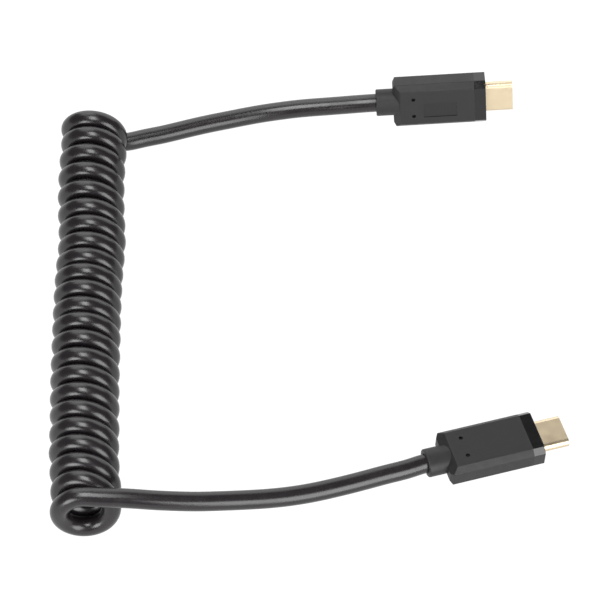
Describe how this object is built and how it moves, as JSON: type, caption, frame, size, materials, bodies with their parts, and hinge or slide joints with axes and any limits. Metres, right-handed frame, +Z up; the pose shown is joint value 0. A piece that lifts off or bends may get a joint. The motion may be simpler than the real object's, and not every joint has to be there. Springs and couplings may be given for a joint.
{
  "type": "coiled usb-c cable",
  "caption": "Coiled charging cable with a closely wound spring-like cord and a reversible flat plug on each end.",
  "frame": {"origin": "on the table, under the middle of the cable's bounding box", "axes": "+Z up; the coil lies along Y with its open near end towards -Y; both tails run towards +X to their plugs"},
  "size_m": [0.1212, 0.1244, 0.0162],
  "materials": {
    "cord_jacket": "glossy black cable jacket",
    "plug_housing": "fine matte dark grey moulded plastic with a polished band at the front",
    "plug_shell": "pale gold-plated sheet metal",
    "plug_insulator": "black insulator plastic"
  },
  "bodies": {
    "root": {"coil": "cord_jacket", "far_tail": "cord_jacket", "near_tail": "cord_jacket", "far_housing": "plug_housing", "near_housing": "plug_housing", "far_shell": "plug_shell", "near_shell": "plug_shell", "far_insulator": "plug_insulator", "near_insulator": "plug_insulator"}
  },
  "joints": []
}
